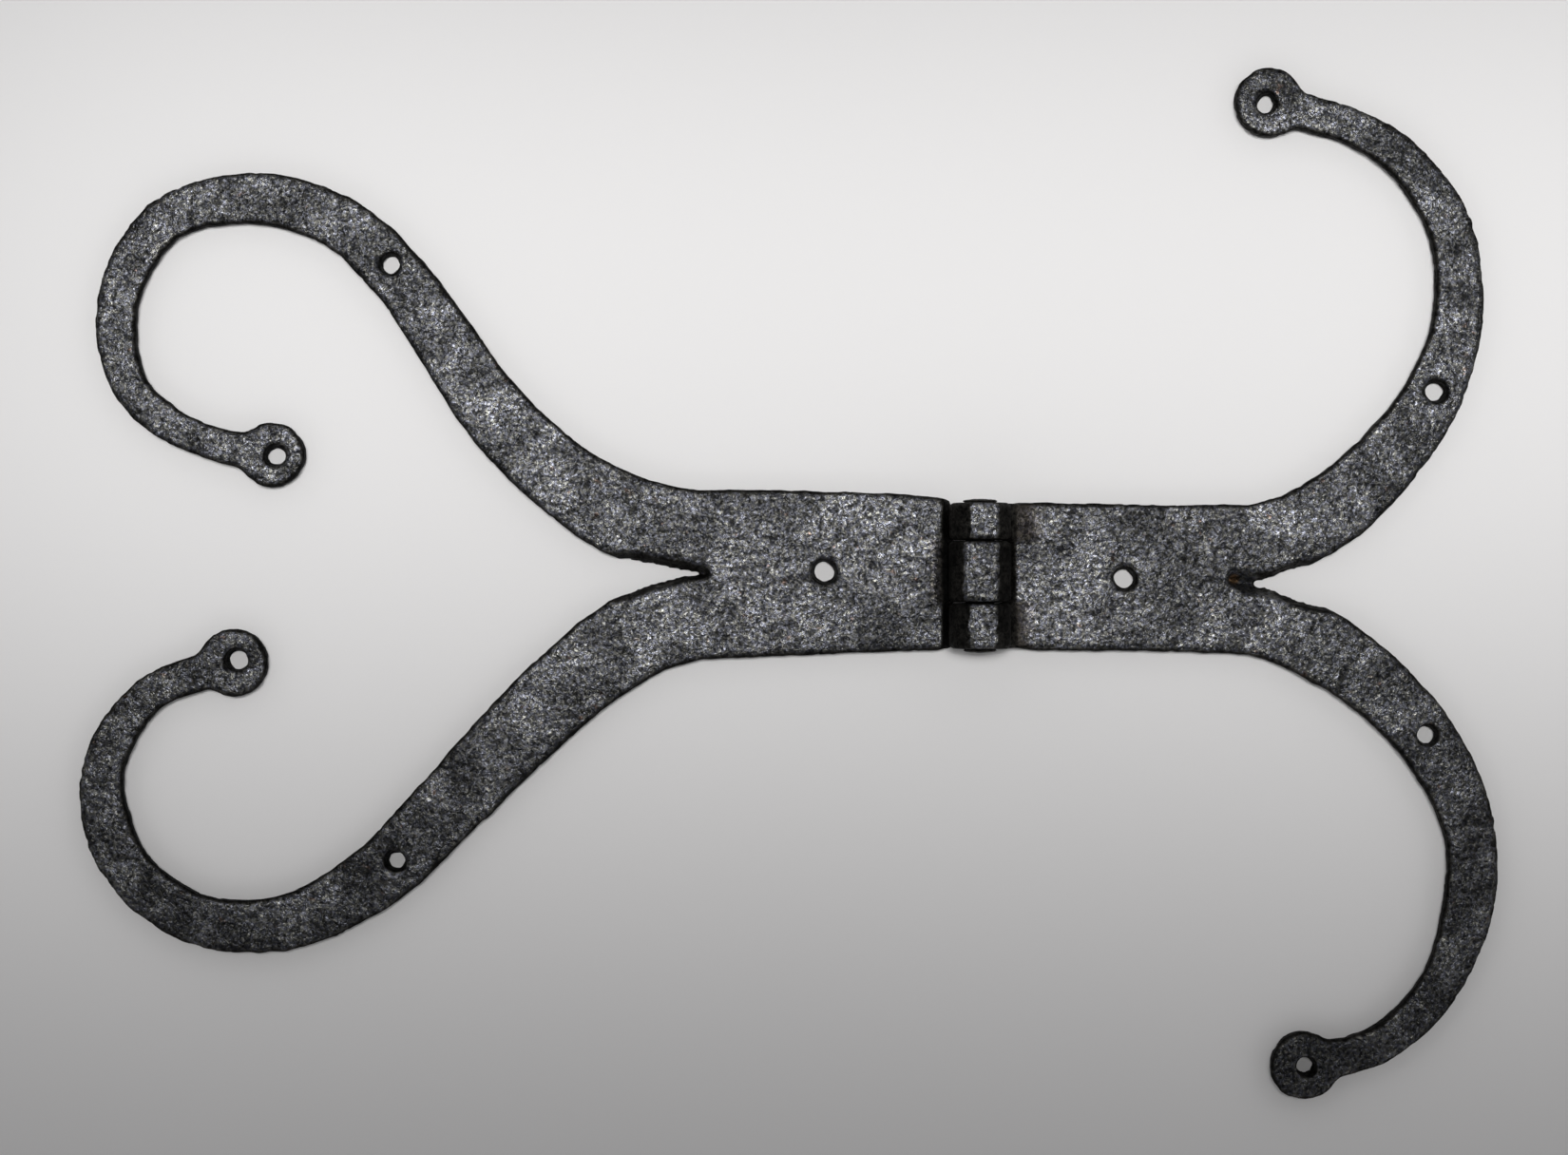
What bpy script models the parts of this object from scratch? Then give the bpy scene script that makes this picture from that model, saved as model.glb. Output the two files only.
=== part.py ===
"""Hand-forged ram's-horn door hinge.

Two strap leaves meet at a barrel of three knuckles. Each strap is split down its middle with a chisel,
and its two halves are drawn out into curling horns that end in round nail eyes. The door leaf, on the -X
side, carries the middle knuckle. The jamb leaf, on the +X side, carries the two outer knuckles and the
pin, whose ends are peened over them.

Frame: metres, +Z out of the front faces. The origin is on the hinge line, in the plane of the leaves'
backs and level with the middle knuckle. +X runs towards the jamb leaf and +Y along the pin.
"""

import math

import bmesh
import bpy
from mathutils import Matrix, Vector

MM = 0.001

# Strap and barrel
STRAP_THICKNESS = 4.0 * MM
BORE_RADIUS = 4.1 * MM
PIN_RADIUS = 3.8 * MM
PIN_HEIGHT = 7.8 * MM                # of the pin's centre above the backs
LEAF_END = 9.3 * MM                  # from the hinge line to where a strap turns up into its knuckle
LEAF_END_BACK = 6.4 * MM             # a free end leans out to here at its back, under the other's knuckle
LEAF_END_TAPER = 0.5 * MM            # and runs into its own knuckle over this width
TUCK_GAP_DEG = 39.0                  # open angle between a knuckle's rolled end and its own strap
BARREL_BACK = 0.0                    # the roll is hammered flat here, level with the backs
BARREL_FRONT = 15.3 * MM             # and lightly flattened here
MIDDLE_KNUCKLE = (-6.85 * MM, 9.1 * MM)
LOWER_KNUCKLE = (-19.0 * MM, -7.15 * MM)
UPPER_KNUCKLE = (9.4 * MM, 19.05 * MM)

# Peened pin ends
HEAD_GAP = 0.3 * MM
UPPER_HEAD_RADIUS = 4.65 * MM
LOWER_HEAD_RADIUS = 4.5 * MM
HEAD_HEIGHT = 0.8 * MM

# Nail holes, punched from the front
HOLE_FLARE = 1.0 * MM                # how much larger a hole's radius is at the front than at the back
HOLE_RIM_WIDTH = 0.35 * MM           # of the worn rim at the front
HOLE_RIM_DEPTH = 0.4 * MM

# Fineness
OUTLINE_STEP = 5.5 * MM
EYE_STEP_DEG = 15.0
HOLE_SIDES = 20
UPTURN_STEPS = 6
ROLL_STEPS = 26
PIN_SIDES = 32
RIM_ROUNDING = 0.7 * MM
OVERCUT = 1.0 * MM                   # how far a punch runs past the faces that it cuts
CHISEL_OVERCUT = 0.1 * MM            # how far a chisel cut's sections stand above the front

# Each horn in mm, from the split to its eye: (x, y, width) along its middle. The first row lies back in
# the strap and only sets the direction, and the last is the eye's centre and the width of its neck.
DOOR_UPPER_HORN = [
    (-55.0, 11.4, 21.0),
    (-75.5, 11.95, 21.6),
    (-90.0, 14.6, 22.2),
    (-110.5, 26.5, 19.4),
    (-127.8, 43.3, 18.0),
    (-141.5, 63.0, 16.0),
    (-152.0, 77.8, 15.1),
    (-169.5, 93.7, 14.0),
    (-192.5, 99.6, 13.4),
    (-215.3, 93.0, 11.5),
    (-227.0, 72.3, 10.7),
    (-223.1, 48.8, 9.5),
    (-204.0, 35.6, 8.8),
    (-186.2, 31.9, 9.0),
]
DOOR_UPPER_EYE_RADIUS = 8.6 * MM

DOOR_LOWER_HORN = [
    (-55.0, -10.0, 21.0),
    (-75.5, -11.05, 22.5),
    (-86.7, -14.2, 23.0),
    (-106.5, -27.5, 21.6),
    (-124.0, -44.0, 20.1),
    (-140.5, -61.4, 18.5),
    (-162.4, -81.9, 16.6),
    (-184.0, -91.7, 14.3),
    (-207.9, -89.9, 13.3),
    (-226.2, -74.4, 12.6),
    (-230.9, -51.1, 10.9),
    (-218.6, -31.1, 9.5),
    (-196.4, -22.9, 9.4),
]
DOOR_LOWER_EYE_RADIUS = 9.0 * MM

JAMB_UPPER_HORN = [
    (55.0, 9.4, 18.5),
    (74.0, 8.9, 20.2),
    (89.5, 15.0, 19.7),
    (107.8, 30.6, 17.4),
    (119.9, 47.6, 15.2),
    (126.5, 67.9, 12.9),
    (124.3, 91.8, 11.5),
    (110.4, 111.5, 10.1),
    (94.2, 120.2, 9.3),
    (76.7, 124.8, 9.4),
]
JAMB_UPPER_EYE_RADIUS = 9.1 * MM

JAMB_LOWER_HORN = [
    (55.0, -10.6, 18.6),
    (74.0, -11.85, 18.3),
    (87.2, -16.9, 19.0),
    (107.0, -30.5, 17.1),
    (120.6, -46.4, 15.5),
    (129.2, -65.6, 13.4),
    (128.8, -89.8, 12.6),
    (118.9, -111.8, 10.5),
    (104.2, -124.4, 9.4),
    (85.8, -129.0, 9.6),
]
JAMB_LOWER_EYE_RADIUS = 8.9 * MM

NECK_FILLET = 4.0 * MM               # where a horn flares into its eye

# Straps in mm: the points of each straight side between the barrel and the horns
DOOR_TOP_SIDE = [(-6.4, 18.6), (-7.4, 20.0), (-9.5, 20.5), (-13.0, 21.2), (-35.0, 22.2)]
DOOR_BOTTOM_SIDE = [(-45.0, -20.7), (-11.0, -19.5)]
JAMB_TOP_SIDE = [(40.0, 18.8), (14.0, 19.2)]
JAMB_BOTTOM_SIDE = [(14.0, -19.6), (40.0, -19.9)]

# Chisel cuts in mm, from their blind ends out along the split, as sections: x, then the y of the upper
# wall at the front and at the back, and the y of the lower wall at the front and at the back. Walls that
# cross before the back leave a groove, and walls that don't are cut right through.
DOOR_CHISEL = [
    (-70.7, 1.5, 0.5, 0.5, 1.5),
    (-72.1, 3.0, 0.0, -0.5, 0.0),
    (-76.1, 3.5, 1.1, -1.1, 0.2),
    (-80.5, 4.4, 2.1, -2.9, -0.4),
    (-86.0, 5.3, 3.0, -4.1, -1.6),
    (-92.5, 6.0, 4.2, -6.4, -4.4),
    (-100.0, 5.8, 4.4, -7.0, -5.6),
]
JAMB_CHISEL = [
    (65.8, 0.8, -2.2, -2.6, 0.4),
    (67.2, 1.3, -2.3, -3.6, -0.8),
    (70.7, 1.9, -2.1, -4.6, -1.8),
    (72.6, 1.5, -1.9, -4.9, -1.9),
    (75.0, 1.0, -1.3, -5.5, -2.8),
    (78.3, 1.6, -0.5, -6.5, -3.4),
    (82.0, 3.3, 1.3, -7.5, -5.1),
    (88.0, 4.6, 2.6, -9.1, -7.4),
    (97.0, 6.3, 4.9, -10.5, -9.1),
]

# Nail holes in mm, as (x, y, radius at the back): one in each strap, one along each horn and one in each
# eye, in that order
DOOR_HOLES = [
    (-40.6, 1.0, 2.4),
    (-155.0, 82.0, 2.05),
    (-153.6, -75.1, 1.95),
    (-185.3, 31.7, 2.15),
    (-195.5, -22.2, 2.3),
]
JAMB_HOLES = [
    (38.5, -0.8, 2.35),
    (120.5, 48.6, 2.15),
    (118.4, -42.0, 2.05),
    (75.8, 124.6, 2.0),
    (86.3, -129.2, 1.95),
]


def clear_objects():
    """Remove whatever the file holds, so that the script can be run again."""
    for item in list(bpy.data.objects):
        bpy.data.objects.remove(item, do_unlink=True)


def iron(name, color, roughness):
    """A dark forged-iron material."""
    material = bpy.data.materials.new(name)
    material.use_nodes = True
    shader = material.node_tree.nodes["Principled BSDF"]
    shader.inputs["Base Color"].default_value = (*color, 1.0)
    shader.inputs["Metallic"].default_value = 0.8
    shader.inputs["Roughness"].default_value = roughness
    return material


def add_object(name, bm, material=None):
    """Turn a bmesh into a smooth-shaded object at the origin."""
    bmesh.ops.recalc_face_normals(bm, faces=bm.faces)
    mesh = bpy.data.meshes.new(name)
    bm.to_mesh(mesh)
    bm.free()
    mesh.shade_smooth()
    mesh.set_sharp_from_angle(angle=math.radians(35))
    if material is not None:
        mesh.materials.append(material)
    item = bpy.data.objects.new(name, mesh)
    bpy.context.collection.objects.link(item)
    return item


# ---------------------------------------------------------------- outlines

def curve_through(stations, step):
    """A smooth curve through (x, y, width) stations in mm, sampled about every step metres.

    Each span is a cubic whose end slopes are the chord-weighted means of the chords on either side. The
    first station only sets the slope at the second, where the curve starts.
    """
    knots = [Vector(row) * MM for row in stations]
    chords = [(b.xy - a.xy).length for a, b in zip(knots, knots[1:])]
    slopes = []
    for i in range(1, len(knots) - 1):
        before = (knots[i] - knots[i - 1]) / chords[i - 1]
        after = (knots[i + 1] - knots[i]) / chords[i]
        slopes.append((before * chords[i] + after * chords[i - 1]) / (chords[i - 1] + chords[i]))
    slopes.append((knots[-1] - knots[-2]) / chords[-1])

    samples = []
    for i in range(1, len(knots) - 1):
        count = max(2, round(chords[i] / step))
        for k in range(count):
            t = k / count
            start_slope = slopes[i - 1] * chords[i]
            end_slope = slopes[i] * chords[i]
            samples.append(
                knots[i] * (2 * t**3 - 3 * t**2 + 1)
                + start_slope * (t**3 - 2 * t**2 + t)
                + knots[i + 1] * (3 * t**2 - 2 * t**3)
                + end_slope * (t**3 - t**2)
            )
    samples.append(knots[-1])
    return samples


def arc(center, radius, start, end, step_deg):
    """Points on an arc from angle start to end, in radians, with both ends."""
    count = max(1, math.ceil(abs(math.degrees(end - start)) / step_deg))
    angles = [start + (end - start) * k / count for k in range(count + 1)]
    return [center + radius * Vector((math.cos(a), math.sin(a))) for a in angles]


def horn_outline(stations, eye_radius):
    """The horn's edge: out along its right side, round the eye and back along its left side."""
    samples = curve_through(stations, OUTLINE_STEP)
    eye = samples[-1].xy
    half_neck = samples[-1].z / 2
    flare = math.sqrt((eye_radius + NECK_FILLET) ** 2 - (half_neck + NECK_FILLET) ** 2)
    shaft = [point for point in samples if (point.xy - eye).length > flare + OUTLINE_STEP / 2]

    right, left = [], []
    for i, point in enumerate(shaft):
        before = samples[max(i - 1, 0)].xy
        after = samples[i + 1].xy
        along = (after - before).normalized()
        side = Vector((along.y, -along.x)) * point.z / 2
        right.append(point.xy + side)
        left.append(point.xy - side)

    # The neck widens on two fillets that are tangent to the shaft and to the round eye.
    outward = (shaft[-1].xy - eye).normalized()
    heading = math.atan2(outward.y, outward.x)
    across = Vector((-outward.y, outward.x))
    fillet_end = math.atan2(half_neck + NECK_FILLET, flare)
    right_fillet = arc(
        eye + outward * flare + across * (half_neck + NECK_FILLET),
        NECK_FILLET,
        heading - math.pi / 2,
        heading - math.pi + fillet_end,
        EYE_STEP_DEG * 1.5,
    )
    left_fillet = arc(
        eye + outward * flare - across * (half_neck + NECK_FILLET),
        NECK_FILLET,
        heading + math.pi - fillet_end,
        heading + math.pi / 2,
        EYE_STEP_DEG * 1.5,
    )
    rim = arc(eye, eye_radius, heading + fillet_end, heading + 2 * math.pi - fillet_end, EYE_STEP_DEG)
    return right + right_fillet + rim[1:-1] + left_fillet + left[::-1]


def in_metres(points):
    return [Vector(point) * MM for point in points]


def door_outline():
    """The door leaf's outline, anticlockwise from the top of its barrel end."""
    return (
        in_metres(DOOR_TOP_SIDE)
        + horn_outline(DOOR_UPPER_HORN, DOOR_UPPER_EYE_RADIUS)
        + horn_outline(DOOR_LOWER_HORN, DOOR_LOWER_EYE_RADIUS)
        + in_metres(DOOR_BOTTOM_SIDE)
        + [
            Vector((-LEAF_END_BACK, LOWER_KNUCKLE[0])),
            Vector((-LEAF_END_BACK, MIDDLE_KNUCKLE[0] - LEAF_END_TAPER)),
            Vector((-LEAF_END, MIDDLE_KNUCKLE[0])),
            Vector((-LEAF_END, MIDDLE_KNUCKLE[1])),
            Vector((-LEAF_END_BACK, MIDDLE_KNUCKLE[1] + LEAF_END_TAPER)),
        ]
    )


def jamb_outline():
    """The jamb leaf's outline, anticlockwise from the bottom of its barrel end."""
    return (
        in_metres(JAMB_BOTTOM_SIDE)
        + horn_outline(JAMB_LOWER_HORN, JAMB_LOWER_EYE_RADIUS)
        + horn_outline(JAMB_UPPER_HORN, JAMB_UPPER_EYE_RADIUS)
        + in_metres(JAMB_TOP_SIDE)
        + [
            Vector((LEAF_END, UPPER_KNUCKLE[1])),
            Vector((LEAF_END, UPPER_KNUCKLE[0])),
            Vector((LEAF_END_BACK, UPPER_KNUCKLE[0] - LEAF_END_TAPER)),
            Vector((LEAF_END_BACK, LOWER_KNUCKLE[1] + LEAF_END_TAPER)),
            Vector((LEAF_END, LOWER_KNUCKLE[1])),
            Vector((LEAF_END, LOWER_KNUCKLE[0])),
        ]
    )


# ---------------------------------------------------------------- solids

def slab(outline):
    """A plate of the strap's thickness with the given outline, its back at z = 0.

    The free ends at the barrel lean: their front edges lie at LEAF_END.
    """
    bm = bmesh.new()
    bottom = bm.faces.new([bm.verts.new((point.x, point.y, 0.0)) for point in outline])
    raised = bmesh.ops.extrude_face_region(bm, geom=[bottom])
    top = [item for item in raised["geom"] if isinstance(item, bmesh.types.BMVert)]
    bmesh.ops.translate(bm, verts=top, vec=(0.0, 0.0, STRAP_THICKNESS))
    for vert in top:
        if abs(vert.co.x) < LEAF_END:
            vert.co.x = math.copysign(LEAF_END, vert.co.x)
    bmesh.ops.recalc_face_normals(bm, faces=bm.faces)
    return bm


def end_face(bm, side, knuckle):
    """The face at a leaf's barrel end that spans one knuckle's length."""
    wanted = Vector((side * LEAF_END, sum(knuckle) / 2, STRAP_THICKNESS / 2))
    return min(bm.faces, key=lambda face: (face.calc_center_bounds() - wanted).length)


def roll_knuckle(bm, side, knuckle):
    """Turn a strap's end up and roll it over the front of the pin, back to its own underside.

    The upturn and the roll are two arcs of the strap's middle line that meet on one tangent, which fixes
    the radius of the upturn.
    """
    wall_radius = BORE_RADIUS + STRAP_THICKNESS / 2
    drop = PIN_HEIGHT - STRAP_THICKNESS / 2
    turn_radius = (LEAF_END**2 + drop**2 - wall_radius**2) / (2 * (wall_radius + drop))
    turn_center = Vector((side * LEAF_END, 0.0, STRAP_THICKNESS / 2 + turn_radius))
    pin_center = Vector((0.0, 0.0, PIN_HEIGHT))
    past_upright = math.atan2(pin_center.z - turn_center.z, LEAF_END)
    turn = math.pi / 2 + past_upright
    roll = 2 * math.pi - math.radians(TUCK_GAP_DEG)

    face = end_face(bm, side, knuckle)
    for center, angle, steps in (
        (turn_center, side * turn, UPTURN_STEPS),
        (pin_center, -side * roll, ROLL_STEPS),
    ):
        spun = bmesh.ops.spin(
            bm,
            geom=[face],
            cent=center,
            axis=(0.0, 1.0, 0.0),
            angle=angle,
            steps=steps,
            use_duplicate=False,
        )
        bmesh.ops.delete(bm, geom=[face], context="FACES_ONLY")
        face = next(item for item in spun["geom_last"] if isinstance(item, bmesh.types.BMFace))


def flatten_barrel(bm):
    """Hammer the barrel flat at the back, level with the leaves, and a little at the front."""
    for vert in bm.verts:
        vert.co.z = min(max(vert.co.z, BARREL_BACK), BARREL_FRONT)


def add_turned_solid(bm, profile, sides, place):
    """Turn (radius, height) points about Z into a closed solid, then move it to its place."""
    verts = [bm.verts.new((radius, 0.0, height)) for radius, height in profile]
    edges = [bm.edges.new(pair) for pair in zip(verts, verts[1:])]
    bmesh.ops.spin(
        bm,
        geom=verts + edges,
        cent=(0.0, 0.0, 0.0),
        axis=(0.0, 0.0, 1.0),
        angle=2 * math.pi,
        steps=sides,
        use_merge=True,
    )
    solid = [vert for vert in bm.verts if not vert.tag]
    bmesh.ops.remove_doubles(bm, verts=solid, dist=0.001 * MM)
    solid = [vert for vert in bm.verts if not vert.tag]
    bmesh.ops.transform(bm, matrix=place, verts=solid)
    for vert in solid:
        vert.tag = True


def add_nail_hole(bm, x, y, back_radius):
    """A tapered punch, a little wider at the front rim."""
    taper = HOLE_FLARE / STRAP_THICKNESS
    rim_radius = back_radius + HOLE_FLARE + HOLE_RIM_WIDTH
    rim_bottom = STRAP_THICKNESS - HOLE_RIM_DEPTH
    profile = [
        (0.0, -OVERCUT),
        (back_radius - taper * OVERCUT, -OVERCUT),
        (back_radius + taper * rim_bottom, rim_bottom),
        (rim_radius, STRAP_THICKNESS),
        (rim_radius + OVERCUT, STRAP_THICKNESS + OVERCUT),
        (0.0, STRAP_THICKNESS + OVERCUT),
    ]
    add_turned_solid(bm, profile, HOLE_SIDES, Matrix.Translation((x, y, 0.0)))


def add_chisel_cut(bm, chisel):
    """The V that a chisel left along a strap's split: a run of triangular sections, closed at both ends."""
    front = STRAP_THICKNESS + CHISEL_OVERCUT
    sections = []
    for x, upper_front, upper_back, lower_front, lower_back in chisel:
        front_width = upper_front - lower_front
        back_width = upper_back - lower_back
        keel = -back_width / (front_width - back_width)
        keel_y = upper_back + (upper_front - upper_back) * keel
        corners = (
            (upper_front * MM, front),
            (lower_front * MM, front),
            (keel_y * MM, keel * STRAP_THICKNESS),
        )
        sections.append([bm.verts.new((x * MM, cy, cz)) for cy, cz in corners])
    bm.faces.new(sections[0])
    bm.faces.new(sections[-1])
    for near, far in zip(sections, sections[1:]):
        for i in range(3):
            j = (i + 1) % 3
            bm.faces.new((near[i], near[j], far[j], far[i]))


def add_cutter(name, holes, chisel):
    """All that is cut out of one leaf: its nail holes and its chisel groove."""
    bm = bmesh.new()
    for x, y, back_radius in holes:
        add_nail_hole(bm, x * MM, y * MM, back_radius * MM)
    add_chisel_cut(bm, chisel)
    cutter = add_object(name, bm)
    cutter.hide_render = True
    cutter.display_type = "WIRE"
    return cutter


def add_leaf(name, outline, side, knuckles, cutter, material):
    """A strap leaf with its rolled knuckles, softened rims, nail holes and chisel groove."""
    bm = slab(outline)
    for knuckle in knuckles:
        roll_knuckle(bm, side, knuckle)
    flatten_barrel(bm)
    leaf = add_object(name, bm, material)

    rims = leaf.modifiers.new("Softened rims", "BEVEL")
    rims.width = RIM_ROUNDING
    rims.segments = 2
    rims.limit_method = "ANGLE"
    rims.angle_limit = math.radians(50)
    cut = leaf.modifiers.new("Holes and split", "BOOLEAN")
    cut.operation = "DIFFERENCE"
    cut.solver = "EXACT"
    cut.object = cutter
    return leaf


def add_pin(material):
    """The round pin, with both ends peened into low mushroom heads over the outer knuckles."""
    lower_seat = LOWER_KNUCKLE[0] - HEAD_GAP
    upper_seat = UPPER_KNUCKLE[1] + HEAD_GAP
    profile = [
        (0.0, lower_seat - HEAD_HEIGHT),
        (0.5 * LOWER_HEAD_RADIUS, lower_seat - HEAD_HEIGHT),
        (0.85 * LOWER_HEAD_RADIUS, lower_seat - 0.75 * HEAD_HEIGHT),
        (LOWER_HEAD_RADIUS, lower_seat - 0.35 * HEAD_HEIGHT),
        (LOWER_HEAD_RADIUS, lower_seat),
        (PIN_RADIUS, lower_seat),
        (PIN_RADIUS, upper_seat),
        (UPPER_HEAD_RADIUS, upper_seat),
        (UPPER_HEAD_RADIUS, upper_seat + 0.35 * HEAD_HEIGHT),
        (0.85 * UPPER_HEAD_RADIUS, upper_seat + 0.75 * HEAD_HEIGHT),
        (0.5 * UPPER_HEAD_RADIUS, upper_seat + HEAD_HEIGHT),
        (0.0, upper_seat + HEAD_HEIGHT),
    ]
    bm = bmesh.new()
    add_turned_solid(bm, profile, PIN_SIDES, Matrix.Rotation(-math.pi / 2, 4, "X"))
    pin = add_object("pin", bm, material)
    pin.location = (0.0, 0.0, PIN_HEIGHT)
    return pin


def add_hinge_line():
    """An empty on the pin's axis, which the door leaf turns about."""
    empty = bpy.data.objects.new("hinge_line", None)
    empty.empty_display_size = 20 * MM
    empty.location = (0.0, 0.0, PIN_HEIGHT)
    bpy.context.collection.objects.link(empty)
    return empty


def hang_on(child, parent):
    """Parent an object and leave it where it is."""
    child.parent = parent
    child.matrix_parent_inverse = Matrix.Translation(parent.location).inverted()


def main():
    clear_objects()
    strap_iron = iron("forged_iron", (0.075, 0.075, 0.078), 0.55)
    pin_iron = iron("pin_iron", (0.06, 0.058, 0.057), 0.5)
    hinge_line = add_hinge_line()

    door_cutter = add_cutter("door_cutter", DOOR_HOLES, DOOR_CHISEL)
    door_leaf = add_leaf("door_leaf", door_outline(), -1, [MIDDLE_KNUCKLE], door_cutter, strap_iron)
    hang_on(door_leaf, hinge_line)
    hang_on(door_cutter, hinge_line)

    jamb_cutter = add_cutter("jamb_cutter", JAMB_HOLES, JAMB_CHISEL)
    add_leaf("jamb_leaf", jamb_outline(), 1, [LOWER_KNUCKLE, UPPER_KNUCKLE], jamb_cutter, strap_iron)
    add_pin(pin_iron)


main()
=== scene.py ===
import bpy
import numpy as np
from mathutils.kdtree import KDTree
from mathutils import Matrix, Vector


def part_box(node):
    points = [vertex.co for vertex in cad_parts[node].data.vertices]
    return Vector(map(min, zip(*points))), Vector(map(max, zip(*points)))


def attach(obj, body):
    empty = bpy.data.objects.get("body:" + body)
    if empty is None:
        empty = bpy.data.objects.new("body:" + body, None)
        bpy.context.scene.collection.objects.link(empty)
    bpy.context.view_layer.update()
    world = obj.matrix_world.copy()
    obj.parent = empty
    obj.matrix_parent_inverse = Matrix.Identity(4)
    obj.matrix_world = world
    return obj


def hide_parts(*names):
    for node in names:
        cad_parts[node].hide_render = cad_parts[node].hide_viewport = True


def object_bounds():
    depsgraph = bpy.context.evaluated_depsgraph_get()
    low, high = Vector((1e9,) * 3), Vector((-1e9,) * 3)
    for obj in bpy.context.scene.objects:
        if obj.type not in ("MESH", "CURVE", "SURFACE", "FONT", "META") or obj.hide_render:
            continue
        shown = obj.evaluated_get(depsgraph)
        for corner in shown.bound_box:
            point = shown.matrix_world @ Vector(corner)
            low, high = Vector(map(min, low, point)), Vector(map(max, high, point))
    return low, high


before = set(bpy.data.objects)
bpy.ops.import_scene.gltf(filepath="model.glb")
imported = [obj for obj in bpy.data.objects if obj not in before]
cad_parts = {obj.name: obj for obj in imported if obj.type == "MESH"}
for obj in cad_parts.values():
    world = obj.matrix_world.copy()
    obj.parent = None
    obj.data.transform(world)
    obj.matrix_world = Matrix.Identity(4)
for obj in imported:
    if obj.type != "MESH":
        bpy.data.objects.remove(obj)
cad_low, cad_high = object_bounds()

# Looks of a hand-forged strap hinge with four curled horns, lying on its back on pale paper.
# The two leaves are remeshed finely, then hammered and pitted and given painted shade; the pin gets peened
# heads.
# Every leaf is shaped in world coordinates: the hinge line runs along Y and the fronts face +Z.

MM = 0.001

# the hinge as packed: how high its line is above the backs, and where barrel and plate start
PIN_HEIGHT = sum(corner.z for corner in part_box("pin")) / 2
BORE_RADIUS = 4.1 * MM
STRAP_FRONT = 4.0 * MM
LEAF_END = 9.3 * MM
PLATE_START = 10.2 * MM
LARGEST_HOLE = 8.5 * MM

# each leaf's knuckles: where one starts and ends along the hinge line, how far out its sweep starts,
# and the left and right edges of the top left bright between flanks in painted shade
DOOR_KNUCKLES = [(-6.85 * MM, 9.1 * MM, 12.0 * MM, -4.7 * MM, 4.3 * MM)]
JAMB_KNUCKLES = [
    (-19.0 * MM, -7.15 * MM, 13.0 * MM, -3.2 * MM, 3.6 * MM),
    (9.4 * MM, 19.05 * MM, 15.5 * MM, -3.0 * MM, 4.2 * MM),
]

# rust in the blind end of the jamb leaf's split: x, y and radius
JAMB_RUST = [(67.6 * MM, -0.9 * MM, 1.8 * MM)]

# mesh detail
LEAF_VOXEL = 0.58 * MM
PIN_VOXEL = 0.3 * MM
FEWEST_WALL_POINTS = 30

# which surfaces count as front, wall or knuckle end: the size of the normal's Z or Y part
FACING_SPAN = (0.2, 0.9)
WALL_FACING = 0.5
END_FACING = (0.5, 0.9)

# where one treatment gives way to the next: from the hinge line sideways, then out from the bore
BARREL_TO_PLATE = (8.5 * MM, 11.0 * MM)
BORE_MARGIN = (0.3 * MM, 1.5 * MM)

# rims rolled off
FRONT_RIM_WIDTH = 2.2 * MM
FRONT_RIM_DROP = 0.28 * MM
BACK_RIM_WIDTH = 1.2 * MM
BACK_RIM_DROP = 0.25 * MM

# the strap sweeping up into its knuckles
KNUCKLE_FADE = (1.2 * MM, 0.4 * MM)       # past and short of a knuckle's end
SWEEP_RISE = 1.5 * MM
SWEEP_START = (7.6 * MM, 8.8 * MM)
SWEEP_HEIGHTS = (2.5 * MM, 3.8 * MM)
SWEEP_RAGGED = (1.5 * MM, 2.4 * MM)       # depth and size of its painted shade's ragged edge
SWEEP_EDGE = (-2.5 * MM, 3.0 * MM)

# the knuckles' flattened shoulders, bright tops beside flanks in painted shade, and rounded ends
SHOULDER_RISE = 0.5 * MM
SHOULDER_START = (2.6 * MM, 4.2 * MM)
SHOULDER_EDGE = (-1.8 * MM, 0.2 * MM)
SHOULDER_HEIGHTS = (13.0 * MM, 14.0 * MM)
BRIGHT_RAGGED = (0.55 * MM, 1.3 * MM)
BRIGHT_EDGE = (-0.3 * MM, 0.3 * MM)
KNUCKLE_ROUNDING_WIDTH = 1.4 * MM
KNUCKLE_ROUNDING = 0.5 * MM
KNUCKLE_SKIN = (6.5 * MM, 8.0 * MM)

# sideways wandering of the plate: size and reach
WANDERS = ((9.0 * MM, 0.22 * MM), (3.5 * MM, 0.16 * MM), (1.6 * MM, 0.07 * MM))

# marks of forging: the dishes of hammer blows, soft lumps (size, depth, seed step) and pits
DISH_SIZE = 9.0 * MM
DISH_DEPTH = 0.14 * MM
LUMPS = ((6.0 * MM, 0.14 * MM, 30), (2.6 * MM, 0.18 * MM, 31), (1.2 * MM, 0.08 * MM, 33))
PIT_SIZE = 1.7 * MM
PIT_DEPTH = 0.20 * MM
PIT_SPAN = (0.10, 0.70)
SWELL = 0.22 * MM
BACK_CALM = 0.5

# peened heads: how deep along the pin they go, and their lumps
HEAD_SPAN = (0.5 * MM, 0.9 * MM)
HEAD_LUMPS = ((2.0 * MM, 0.12 * MM, 0), (0.9 * MM, 0.10 * MM, 1))

# painted shade: 1 is full brightness, 0 is dull painted shade, and deeper painted shade on walls and in
# crevices goes below that
PAINTED_SHADE_UNEVEN = (0.35 * MM, 1.4 * MM)
PAINTED_SHADE_FACING = (0.35, 0.8)
PAINTED_RIM_SHADE = (0.1 * MM, 0.9 * MM)
PAINTED_BORDER_SHADE = (0.3 * MM, 3.0 * MM)
PAINTED_SHADE_NEAR_RIM = 0.6
PAINTED_HOLE_SHADE = (0.0, 0.7 * MM)
PAINTED_KNUCKLE_END_SHADE = (0.0, 0.6 * MM)
PAINTED_PLATE_START_SHADE = (8.8 * MM, 10.4 * MM)
SWEEP_SHADE = 0.6
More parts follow.
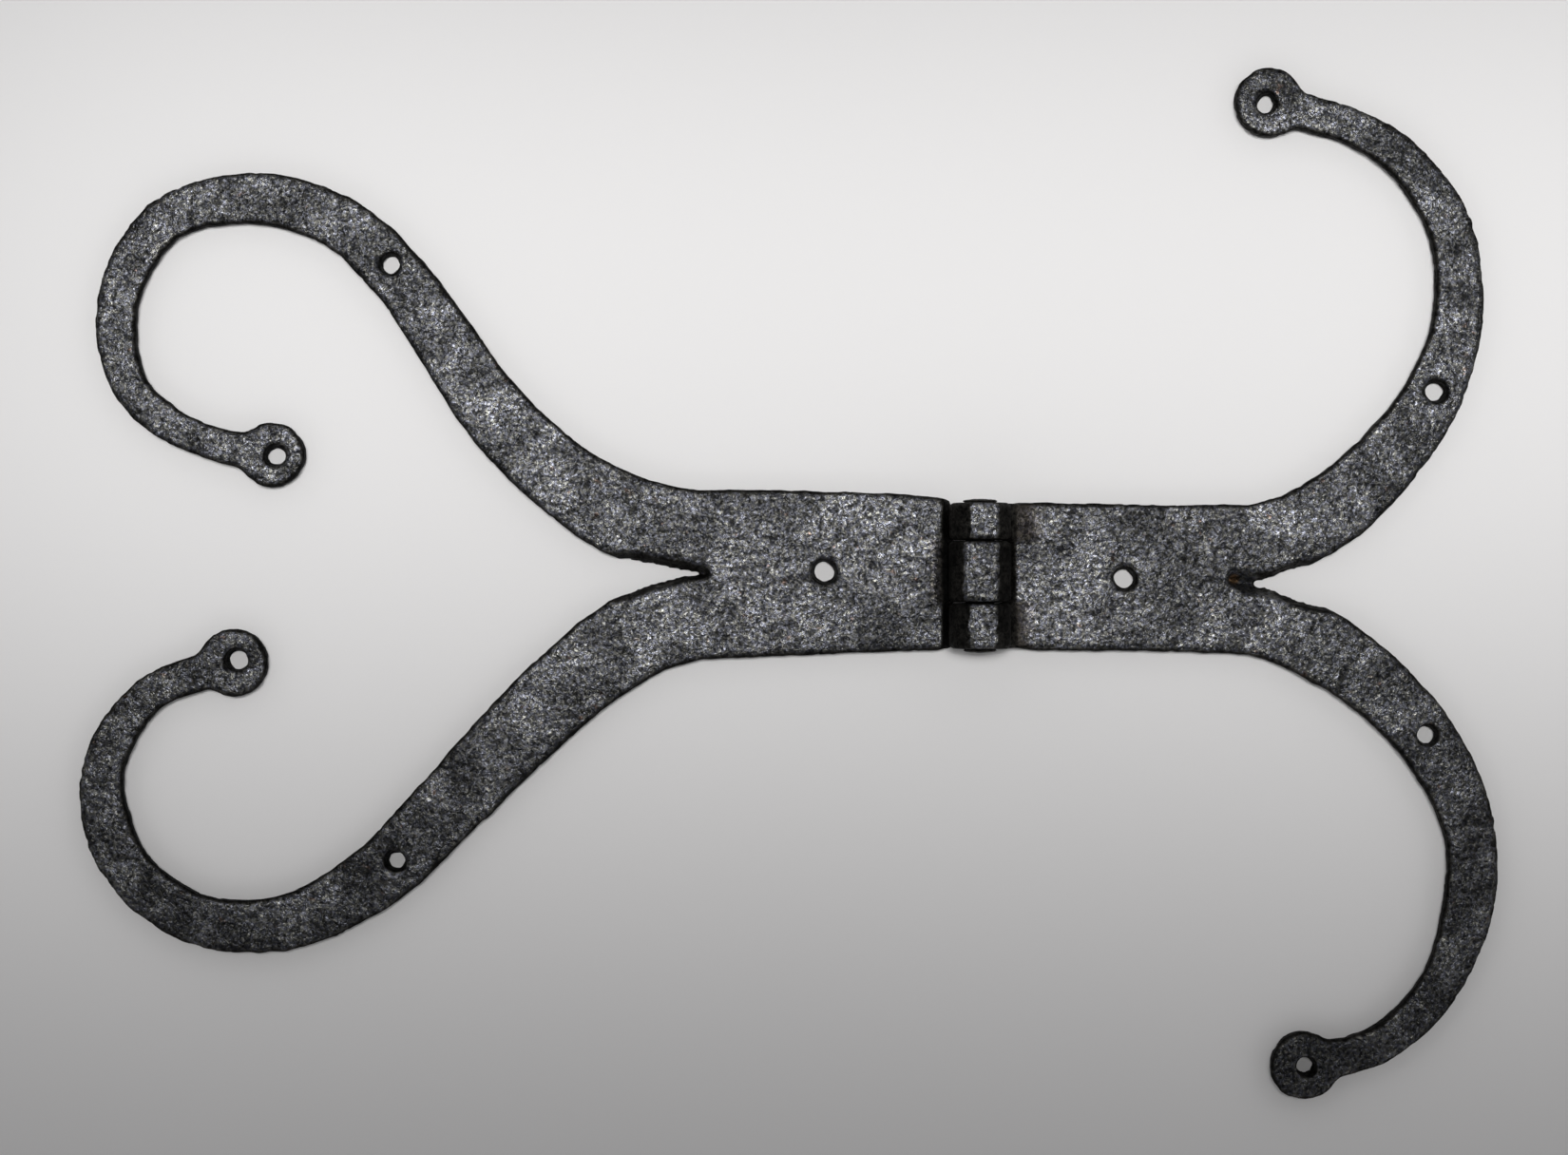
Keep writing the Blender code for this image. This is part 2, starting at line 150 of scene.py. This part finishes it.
# deeper painted shade on the walls and at the knuckles' feet, where the strap meets the barrel
PAINTED_CREVICE_SHADE = 0.25
PAINTED_WALL_FACING = (0.15, 0.6)
PAINTED_FOOT_START = (7.3 * MM, 8.3 * MM)
PAINTED_FOOT_END = (8.9 * MM, 10.0 * MM)
# the pin is painted dark all over: painted shade on its heads
PIN_PAINTED_BRIGHTNESS = 0.08

# rust: its strength on the sweep, and how a spot of it lies
SWEEP_RUST = 0.15
RUST_SPOT_FADE = 0.5
RUST_SPOT_HEIGHTS = (3.5 * MM, 3.9 * MM)
RUST_SPOT_BRIGHTNESS = 0.5


# ---------------------------------------------------------------- noise

def lattice(cell, seed):
    """One repeatable number from -1 to 1 for each whole-number cell (n, 3)."""
    h = cell[:, 0] * 374761393 + cell[:, 1] * 668265263 + cell[:, 2] * 974634777 + seed * 1442695041
    h = h & 0xFFFFFFFF
    h = ((h ^ (h >> 13)) * 1274126177) & 0xFFFFFFFF
    h = h ^ (h >> 16)
    return h / 2147483648.0 - 1.0


def smooth_noise(points, size, seed):
    """Smooth noise from -1 to 1 with lumps about `size` across."""
    p = points / size
    base = np.floor(p).astype(np.int64)
    f = p - base
    f = f * f * (3 - 2 * f)
    total = np.zeros(len(points))
    for dx in (0, 1):
        wx = f[:, 0] if dx else 1 - f[:, 0]
        for dy in (0, 1):
            wy = f[:, 1] if dy else 1 - f[:, 1]
            for dz in (0, 1):
                wz = f[:, 2] if dz else 1 - f[:, 2]
                total += wx * wy * wz * lattice(base + (dx, dy, dz), seed)
    return total


def dishes(points, size, seed):
    """0 in the middle of each hammer blow's dish, rising to about 1 on the ridges between blows."""
    p = points[:, :2] / size
    base = np.floor(p).astype(np.int64)
    nearest = np.full(len(points), 9.0)
    for dx in (-1, 0, 1):
        for dy in (-1, 0, 1):
            cell = np.column_stack((base[:, 0] + dx, base[:, 1] + dy, np.zeros(len(points), np.int64)))
            cx = cell[:, 0] + 0.5 + 0.4 * lattice(cell, seed)
            cy = cell[:, 1] + 0.5 + 0.4 * lattice(cell, seed + 1)
            nearest = np.minimum(nearest, (p[:, 0] - cx) ** 2 + (p[:, 1] - cy) ** 2)
    return np.clip(nearest / 0.6, 0, 1)


def lumpy(points, lumps, seed):
    """Depth of soft lumps of several sizes, never below 0."""
    return sum(depth * (0.5 + 0.5 * smooth_noise(points, size, seed + step)) for size, depth, step in lumps)


def ramp(values, low, high):
    """0 below low, 1 above high, eased in between."""
    t = np.clip((values - low) / (high - low), 0, 1)
    return t * t * (3 - 2 * t)


def fall(values, low, high):
    """1 below low, 0 above high, eased in between."""
    return 1 - ramp(values, low, high)


# ---------------------------------------------------------------- meshes

def remeshed_copy(node, name, voxel):
    """A new object with the CAD node's shape in small even quads."""
    piece = bpy.data.objects.new(name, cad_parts[node].data.copy())
    bpy.context.scene.collection.objects.link(piece)
    weld = piece.modifiers.new("weld", "WELD")
    weld.merge_threshold = 0.001 * MM
    remesh = piece.modifiers.new("remesh", "REMESH")
    remesh.mode = "VOXEL"
    remesh.voxel_size = voxel
    graph = bpy.context.evaluated_depsgraph_get()
    mesh = bpy.data.meshes.new_from_object(piece.evaluated_get(graph))
    piece.modifiers.clear()
    old = piece.data
    piece.data = mesh
    bpy.data.meshes.remove(old)
    mesh.name = name
    mesh.materials.clear()
    mesh.shade_smooth()
    return piece


def read_points(mesh):
    points = np.zeros(len(mesh.vertices) * 3, np.float32)
    normals = np.zeros(len(mesh.vertices) * 3, np.float32)
    mesh.vertices.foreach_get("co", points)
    mesh.vertex_normals.foreach_get("vector", normals)
    return points.reshape(-1, 3).astype(float), normals.reshape(-1, 3).astype(float)


def write_points(mesh, points, low, high):
    """Moves the vertices, none of them outside the CAD node's own box."""
    points = np.clip(points, np.array(low), np.array(high))
    mesh.vertices.foreach_set("co", points.astype(np.float32).ravel())
    mesh.update()


def write_attribute(mesh, name, values):
    attribute = mesh.attributes.new(name, "FLOAT", "POINT")
    attribute.data.foreach_set("value", values.astype(np.float32))


def wall_islands(mesh, walls):
    """A label for each vertex, the same all round one closed wall of the plate; -1 away from walls."""
    pairs = np.zeros(len(mesh.edges) * 2, np.int32)
    mesh.edges.foreach_get("vertices", pairs)
    pairs = pairs.reshape(-1, 2)
    a, b = pairs[walls[pairs[:, 0]] & walls[pairs[:, 1]]].T
    labels = np.arange(len(walls))
    while True:
        before = labels.copy()
        lowest = np.minimum(labels[a], labels[b])
        np.minimum.at(labels, a, lowest)
        np.minimum.at(labels, b, lowest)
        labels = labels[labels]
        if np.array_equal(labels, before):
            return np.where(walls, labels, -1)


def distance_in_plan(points, chosen):
    """How far each point is, seen from the front, from the nearest chosen point."""
    tree = KDTree(len(chosen))
    for i in chosen:
        tree.insert((points[i, 0], points[i, 1], 0.0), int(i))
    tree.balance()
    return np.array([tree.find((x, y, 0.0))[2] for x, y in points[:, :2]])


def distances_to_walls(mesh, points, facing):
    """Each point's distances to the plate's outer rim and to the nearest nail hole."""
    walls = (np.abs(facing) < WALL_FACING) & (np.abs(points[:, 0]) > PLATE_START)
    labels = wall_islands(mesh, walls)
    rim = []
    holes = []
    for label in np.unique(labels[labels >= 0]):
        members = np.flatnonzero(labels == label)
        if len(members) < FEWEST_WALL_POINTS:
            continue
        across = np.ptp(points[members, 0])
        (holes if across < LARGEST_HOLE else rim).append(members)
    return (
        distance_in_plan(points, np.concatenate(rim)),
        distance_in_plan(points, np.concatenate(holes)),
    )


# ---------------------------------------------------------------- forging

def rim_drop(rim, height):
    """How far a point drops for being near the rim: further on the front than the back rises."""
    drop = FRONT_RIM_DROP * np.clip(1 - rim / FRONT_RIM_WIDTH, 0, 1) ** 2 * height
    return drop - BACK_RIM_DROP * np.clip(1 - rim / BACK_RIM_WIDTH, 0, 1) ** 2 * (1 - height)


def raise_knuckles(points, plain, front, knuckles, seed):
    """Sweeps the strap up into its own knuckles and lifts their shoulders. Gives back how far each
    point lies in a sweep's painted shade, and how far it lies on a knuckle's top, left bright between
    flanks in painted shade."""
    x, y, z = plain
    sideways = np.abs(x)
    past, short = KNUCKLE_FADE
    shaded = np.zeros(len(points))
    brightened = np.zeros(len(points))
    for low, high, reach, left, right in knuckles:
        inside = ramp(y, low - past, low + short) * fall(y, high - short, high + past)
        depth, size = SWEEP_RAGGED
        edge = reach - sideways + depth * smooth_noise(points, size, seed + 50)
        shaded = np.maximum(shaded, inside * ramp(edge, *SWEEP_EDGE))

        within = np.minimum(x - left, right - x)
        shoulder = ramp(sideways, *SHOULDER_START) * ramp(within, *SHOULDER_EDGE)
        points[:, 2] += SHOULDER_RISE * shoulder * inside * front * ramp(z, *SHOULDER_HEIGHTS)

        depth, size = BRIGHT_RAGGED
        ragged = within + depth * smooth_noise(points, size, seed + 41)
        brightened = np.maximum(brightened, inside * ramp(ragged, *BRIGHT_EDGE))

        up_the_sweep = np.clip((reach - sideways) / (reach - LEAF_END), 0, 1)
        rise = SWEEP_RISE * up_the_sweep ** 2 * ramp(sideways, *SWEEP_START)
        points[:, 2] += rise * inside * ramp(z, *SWEEP_HEIGHTS)
    return shaded, brightened


def distance_to_knuckle_ends(y, knuckles):
    ends = [end for knuckle in knuckles for end in knuckle[:2]]
    return np.min([np.abs(y - end) for end in ends], axis=0)


def wander(points, on_plate, seed):
    """The whole plate wanders a little sideways, as hand-drawn iron does."""
    for k, (size, reach) in enumerate(WANDERS):
        for axis in (0, 1):
            shift = smooth_noise(points, size, seed + 10 + 2 * k + axis)
            points[:, axis] += shift * reach * on_plate


def forging_depth(points, facing, back, seed):
    """How deep the hammer's dishes, lumps and pits go, calmer on the back."""
    depth = DISH_DEPTH * (1 - dishes(points, DISH_SIZE, seed)) * np.abs(facing)
    depth += lumpy(points, LUMPS, seed)
    depth += PIT_DEPTH * ramp(smooth_noise(points, PIT_SIZE, seed + 32), *PIT_SPAN)
    depth -= SWELL * (1 - back)
    return depth * (1 - BACK_CALM * back)


def forge_leaf(node, name, knuckles, rust_spots, seed):
    """One leaf, forged from its CAD shape, with its painted shade and rust kept as mesh attributes."""
    piece = remeshed_copy(node, name, LEAF_VOXEL)
    mesh = piece.data
    points, normals = read_points(mesh)
    plain = points.T.copy()
    x, y, z = plain
    sideways = np.abs(x)
    facing = normals[:, 2]
    front = ramp(facing, *FACING_SPAN)
    back = ramp(-facing, *FACING_SPAN)

    # how far each point is from the hinge line, and how free it is to move
    radius = np.hypot(x, z - PIN_HEIGHT)
    on_plate = ramp(sideways, *BARREL_TO_PLATE)
    outside_bore = ramp(radius, BORE_RADIUS + BORE_MARGIN[0], BORE_RADIUS + BORE_MARGIN[1])

    rim, hole = distances_to_walls(mesh, points, facing)
    points[:, 2] -= rim_drop(rim, np.clip(z / STRAP_FRONT, 0, 1)) * on_plate
    shaded, brightened = raise_knuckles(points, plain, front, knuckles, seed)

    # knuckle ends are rounded over
    end = distance_to_knuckle_ends(y, knuckles)
    end_face = ramp(np.abs(normals[:, 1]), *END_FACING) * (1 - on_plate)
    outward = np.column_stack((x, np.zeros(len(x)), z - PIN_HEIGHT)) / radius[:, None]
    rolled = (1 - on_plate) * ramp(radius, *KNUCKLE_SKIN)
    rounding = KNUCKLE_ROUNDING * np.clip(1 - end / KNUCKLE_ROUNDING_WIDTH, 0, 1) ** 2
    points -= outward * (rounding * rolled)[:, None]

    wander(points, on_plate, seed)
    depth = forging_depth(points, facing, back, seed) * outside_bore * (1 - end_face)
    points -= normals * depth[:, None]
    write_points(mesh, points, *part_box(node))

    # painted shade on the plate: full brightness away from its rims, holes and sweeps, painted shade on
    # sloping faces and near rims and holes
    uneven = PAINTED_SHADE_UNEVEN[0] * smooth_noise(points, PAINTED_SHADE_UNEVEN[1], seed + 40)
    painted_brightness = ramp(np.abs(facing), *PAINTED_SHADE_FACING) * ramp(rim + uneven, *PAINTED_RIM_SHADE)
    painted_brightness *= PAINTED_SHADE_NEAR_RIM + (1 - PAINTED_SHADE_NEAR_RIM) * ramp(rim + 2 * uneven, *PAINTED_BORDER_SHADE)
    painted_brightness *= ramp(hole + uneven, *PAINTED_HOLE_SHADE)
    # painted shade in the sweeps, and at the strap's end beside the other leaf's knuckles
    painted_brightness *= (1 - SWEEP_SHADE * shaded) * ramp(sideways + uneven, *PAINTED_PLATE_START_SHADE)

    # painted shade on the barrel's flanks and knuckle ends, leaving its tops bright, and deeper painted
    # shade on the walls and at the knuckles' feet
    on_barrel = brightened * front * ramp(end + uneven, *PAINTED_KNUCKLE_END_SHADE)
    painted_brightness = painted_brightness * on_plate + on_barrel * (1 - on_plate)
    foot = ramp(sideways, *PAINTED_FOOT_START) * fall(sideways, *PAINTED_FOOT_END) * front
    painted_brightness -= PAINTED_CREVICE_SHADE * np.maximum(foot, on_plate * fall(np.abs(facing), *PAINTED_WALL_FACING))

    rust = SWEEP_RUST * shaded * on_plate
    for spot_x, spot_y, spot_radius in rust_spots:
        near = spot_radius - np.hypot(x - spot_x, y - spot_y)
        spot = ramp(near, 0.0, RUST_SPOT_FADE * spot_radius) * fall(z, *RUST_SPOT_HEIGHTS)
        rust = np.maximum(rust, spot)
        painted_brightness = np.maximum(painted_brightness, RUST_SPOT_BRIGHTNESS * spot)
    write_attribute(mesh, "painted_brightness", painted_brightness)
    write_attribute(mesh, "rust", rust)
    return piece


def forge_pin(node, name, seed):
    """The pin, with lumpy peened heads and no rust."""
    piece = remeshed_copy(node, name, PIN_VOXEL)
    mesh = piece.data
    points, normals = read_points(mesh)
    low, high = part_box(node)
    head = fall(high.y - points[:, 1], *HEAD_SPAN) + fall(points[:, 1] - low.y, *HEAD_SPAN)
    points -= normals * (lumpy(points, HEAD_LUMPS, seed) * head)[:, None]
    write_points(mesh, points, low, high)
    # painted shade: the whole pin gets one low brightness
    write_attribute(mesh, "painted_brightness", np.full(len(points), PIN_PAINTED_BRIGHTNESS))
    write_attribute(mesh, "rust", np.zeros(len(points)))
    return piece


# ---------------------------------------------------------------- materials

class Nodes:
    """Short calls for building a node tree."""

    def __init__(self, tree):
        self.tree = tree

    def add(self, kind, **settings):
        node = self.tree.nodes.new(kind)
        for key, value in settings.items():
            setattr(node, key, value)
        return node

    def link(self, source, target):
        self.tree.links.new(source, target)

    def put(self, value, socket):
        if isinstance(value, bpy.types.NodeSocket):
            self.link(value, socket)
        else:
            socket.default_value = value

    def noise(self, place, size, detail=2.0, roughness=0.5, distortion=0.0):
        """Noise with lumps about `size` metres across, from 0 to 1."""
        node = self.add("ShaderNodeTexNoise")
        self.link(place, node.inputs["Vector"])
        node.inputs["Scale"].default_value = 1.0 / size
        node.inputs["Detail"].default_value = detail
        node.inputs["Roughness"].default_value = roughness
        node.inputs["Distortion"].default_value = distortion
        return node.outputs["Fac"]

    def math(self, operation, a, b=0.0):
        node = self.add("ShaderNodeMath", operation=operation)
        self.put(a, node.inputs[0])
        self.put(b, node.inputs[1])
        return node.outputs[0]

    def product(self, first, *others):
        for other in others:
            first = self.math("MULTIPLY", first, other)
        return first

    def rescale(self, value, low, high, to_low=0.0, to_high=1.0):
        node = self.add("ShaderNodeMapRange", interpolation_type="SMOOTHSTEP")
        self.put(value, node.inputs["Value"])
        self.put(low, node.inputs["From Min"])
        self.put(high, node.inputs["From Max"])
        self.put(to_low, node.inputs["To Min"])
        self.put(to_high, node.inputs["To Max"])
        return node.outputs["Result"]

    def mix(self, share, a, b):
        node = self.add("ShaderNodeMix", data_type="RGBA")
        self.put(share, node.inputs[0])
        self.put(a, node.inputs[6])
        self.put(b, node.inputs[7])
        return node.outputs[2]


# the iron's noises: size, detail, roughness and distortion
REGION_NOISE = (24 * MM, 1.0, 0.5)
PATCH_NOISE = (9 * MM, 2.0, 0.6)
PIT_NOISE = (1.8 * MM, 3.0, 0.65, 0.7)
SPECK_NOISE = (0.95 * MM, 2.2, 0.7, 0.7)
TINT_NOISE = (1.0 * MM, 2.0, 0.6)
BROWN_NOISE = (3.0 * MM, 2.0, 0.5)

# the part of each noise that counts
BROAD_SPAN = (0.38, 0.62)
PITTED_SPAN = (0.36, 0.52)
SPECK_SPAN = (0.3, 0.7)
TINT_SPAN = (0.40, 0.60)
BROWN_SPAN = (0.68, 0.78)

# how bright bare metal is, and how far each kind of mark dims or brightens it
SKIN_BRIGHTNESS = 0.062
REGION_RANGE = (0.82, 1.18)
PATCH_RANGE = (0.62, 1.4)
PIT_SHADE = 0.36
# the brighter specks are burnished high points, and partly painted glints
SPECK_RANGE = (0.22, 2.15)
# the painted shade's darkest brightness, and the level from which no shade is painted
DEEPEST_PAINTED_SHADE = 0.010
UNSHADED_LEVEL = 0.9

# faint blues and olives, a duller tint in the recesses, brown patches and orange rust
BLUE_TINT = (0.93, 0.96, 1.15, 1)
OLIVE_TINT = (1.05, 1.03, 0.93, 1)
RECESS_TINT = (1.06, 1.0, 0.88, 1)
RECESS_TINT_LEVELS = (0.1, 0.5)
BROWN_TINT = (1.25, 0.88, 0.72, 1)
ORANGE_TINT = (1.7, 1.0, 0.5, 1)

# shine
PITTED_ROUGHNESS = 0.42
BARE_ROUGHNESS = 0.26
RECESS_ROUGHNESS = 0.45
RECESS_ROUGH_LEVELS = (0.0, 0.6)
IRON_METALLIC = 0.8
IRON_SPECULAR = 0.2
GRAIN_DEPTH = 0.40 * MM
GRAIN_SHARES = (0.3, 0.7)                 # of the pits' noise and of the specks'


def iron_material(name):
    material = bpy.data.materials.new(name)
    material.use_nodes = True
    tree = material.node_tree
    shader = next(n for n in tree.nodes if n.type == "BSDF_PRINCIPLED")
    n = Nodes(tree)
    place = n.add("ShaderNodeTexCoord").outputs["Object"]
    painted_brightness = n.add("ShaderNodeAttribute", attribute_name="painted_brightness").outputs["Fac"]
    rust = n.add("ShaderNodeAttribute", attribute_name="rust").outputs["Fac"]

    pit_noise = n.noise(place, *PIT_NOISE)
    speck_noise = n.noise(place, *SPECK_NOISE)
    unpitted = n.rescale(pit_noise, *PITTED_SPAN)
    brightness = n.product(
        n.rescale(n.noise(place, *REGION_NOISE), *BROAD_SPAN, *REGION_RANGE),
        n.rescale(n.noise(place, *PATCH_NOISE), *BROAD_SPAN, *PATCH_RANGE),
        n.rescale(unpitted, 0.0, 1.0, PIT_SHADE, 1.0),
        # bright specks: burnished high points, and partly painted glints
        n.rescale(speck_noise, *SPECK_SPAN, *SPECK_RANGE),
        # painted shade from the mesh attribute: rims, walls, flanks, knuckle ends and crevices dimmed
        n.rescale(painted_brightness, -PAINTED_CREVICE_SHADE, UNSHADED_LEVEL, DEEPEST_PAINTED_SHADE, 1.0),
        SKIN_BRIGHTNESS,
    )

    tint = n.mix(n.rescale(n.noise(place, *TINT_NOISE), *TINT_SPAN), BLUE_TINT, OLIVE_TINT)
    tint = n.mix(n.rescale(painted_brightness, *RECESS_TINT_LEVELS), RECESS_TINT, tint)
    tint = n.mix(n.rescale(n.noise(place, *BROWN_NOISE), *BROWN_SPAN), tint, BROWN_TINT)
    tint = n.mix(rust, tint, ORANGE_TINT)
    colour = n.add("ShaderNodeVectorMath", operation="SCALE")
    n.link(tint, colour.inputs[0])
    n.link(brightness, colour.inputs["Scale"])
    n.link(colour.outputs[0], shader.inputs["Base Color"])

    roughness = n.math(
        "ADD",
        n.rescale(unpitted, 0.0, 1.0, PITTED_ROUGHNESS, BARE_ROUGHNESS),
        n.rescale(painted_brightness, *RECESS_ROUGH_LEVELS, RECESS_ROUGHNESS, 0.0),
    )
    n.link(roughness, shader.inputs["Roughness"])
    shader.inputs["Metallic"].default_value = IRON_METALLIC
    shader.inputs["Specular IOR Level"].default_value = IRON_SPECULAR

    bump = n.add("ShaderNodeBump")
    bump.inputs["Distance"].default_value = GRAIN_DEPTH
    bump.inputs["Strength"].default_value = 1.0
    grain = n.math(
        "ADD",
        n.math("MULTIPLY", pit_noise, GRAIN_SHARES[0]),
        n.math("MULTIPLY", speck_noise, GRAIN_SHARES[1]),
    )
    n.link(grain, bump.inputs["Height"])
    n.link(bump.outputs[0], shader.inputs["Normal"])
    return material


PAPER_COLOUR = (0.80, 0.79, 0.785, 1)
PAPER_ROUGHNESS = 0.9


def paper_material():
    material = bpy.data.materials.new("paper")
    material.use_nodes = True
    shader = next(n for n in material.node_tree.nodes if n.type == "BSDF_PRINCIPLED")
    shader.inputs["Base Color"].default_value = PAPER_COLOUR
    shader.inputs["Roughness"].default_value = PAPER_ROUGHNESS
    return material


# ---------------------------------------------------------------- surroundings

FLOOR_SIDE = 40.0
PHOTO_CENTRE = (-1.2 * MM, 1.6 * MM)      # the camera's centre, off the object's own centre
CAMERA_HEIGHT = 640 * MM
CAMERA_LENS = 55.5
SENSOR_WIDTH = 36

LAMP_HEIGHT = 0.807
LAMP_LENGTH = 0.78
LAMP_DEPTH = 0.23
LAMP_SHIFT = (0.079, 0.160)
LAMP_TILT = -0.099
LAMP_POWER = 0.51
LAMP_SPREAD = 0.525

# the room: as dim as the far floor at the horizon, pale walls above it, then a dark ceiling
HORIZON_TONE = (0.237, 0.235, 0.235, 1)
WALL_TONE = (0.69, 0.69, 0.70, 1)
CEILING_TONE = (0.05, 0.05, 0.05, 1)
WALL_START = (0.0, 0.16)
WALL_END = (0.42, 0.82)


def add_floor():
    bpy.ops.mesh.primitive_plane_add(size=FLOOR_SIDE, location=(0, 0, cad_low.z))
    floor = bpy.context.object
    floor.name = "paper_floor"
    floor.data.materials.append(paper_material())


def add_camera():
    """A camera straight above the hinge, looking down."""
    middle = (cad_low + cad_high) / 2
    data = bpy.data.cameras.new("camera")
    data.lens = CAMERA_LENS
    data.sensor_width = SENSOR_WIDTH
    camera = bpy.data.objects.new("camera", data)
    camera.location = (middle.x + PHOTO_CENTRE[0], middle.y + PHOTO_CENTRE[1], cad_low.z + CAMERA_HEIGHT)
    bpy.context.scene.collection.objects.link(camera)
    bpy.context.scene.camera = camera
    return camera


def add_lamp(camera):
    """A long soft lamp above the camera, reaching across the top of the picture."""
    data = bpy.data.lights.new("overhead", "AREA")
    data.shape = "RECTANGLE"
    data.size = LAMP_LENGTH
    data.size_y = LAMP_DEPTH
    data.energy = LAMP_POWER
    data.spread = LAMP_SPREAD
    lamp = bpy.data.objects.new("overhead", data)
    lamp.location = (camera.location.x + LAMP_SHIFT[0], camera.location.y + LAMP_SHIFT[1], LAMP_HEIGHT)
    lamp.rotation_euler.x = LAMP_TILT
    bpy.context.scene.collection.objects.link(lamp)


def add_world():
    """Light from all round: the room's tone depends only on the height looked at."""
    world = bpy.data.worlds.new("world")
    bpy.context.scene.world = world
    world.use_nodes = True
    tree = world.node_tree
    background = next(n for n in tree.nodes if n.type == "BACKGROUND")
    n = Nodes(tree)
    direction = n.add("ShaderNodeTexCoord").outputs["Generated"]
    split = n.add("ShaderNodeSeparateXYZ")
    n.link(direction, split.inputs[0])
    up = split.outputs["Z"]
    walls = n.mix(n.rescale(up, *WALL_START), HORIZON_TONE, WALL_TONE)
    n.link(n.mix(n.rescale(up, *WALL_END), walls, CEILING_TONE), background.inputs["Color"])


# ---------------------------------------------------------------- the scene

bpy.context.scene.view_settings.view_transform = "Standard"

door = forge_leaf("door_leaf", "forged_door_leaf", DOOR_KNUCKLES, [], 100)
jamb = forge_leaf("jamb_leaf", "forged_jamb_leaf", JAMB_KNUCKLES, JAMB_RUST, 200)
pin = forge_pin("pin", "peened_pin", 300)

forged_iron = iron_material("forged_iron")
pin_iron = iron_material("pin_iron")
for piece, node, body, slot, material in (
    (door, "door_leaf", "door", "forged_iron", forged_iron),
    (jamb, "jamb_leaf", "jamb", "forged_iron", forged_iron),
    (pin, "pin", "jamb", "pin_iron", pin_iron),
):
    piece.data.materials.append(material)
    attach(piece, body)
    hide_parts(node)

add_floor()
add_lamp(add_camera())
add_world()
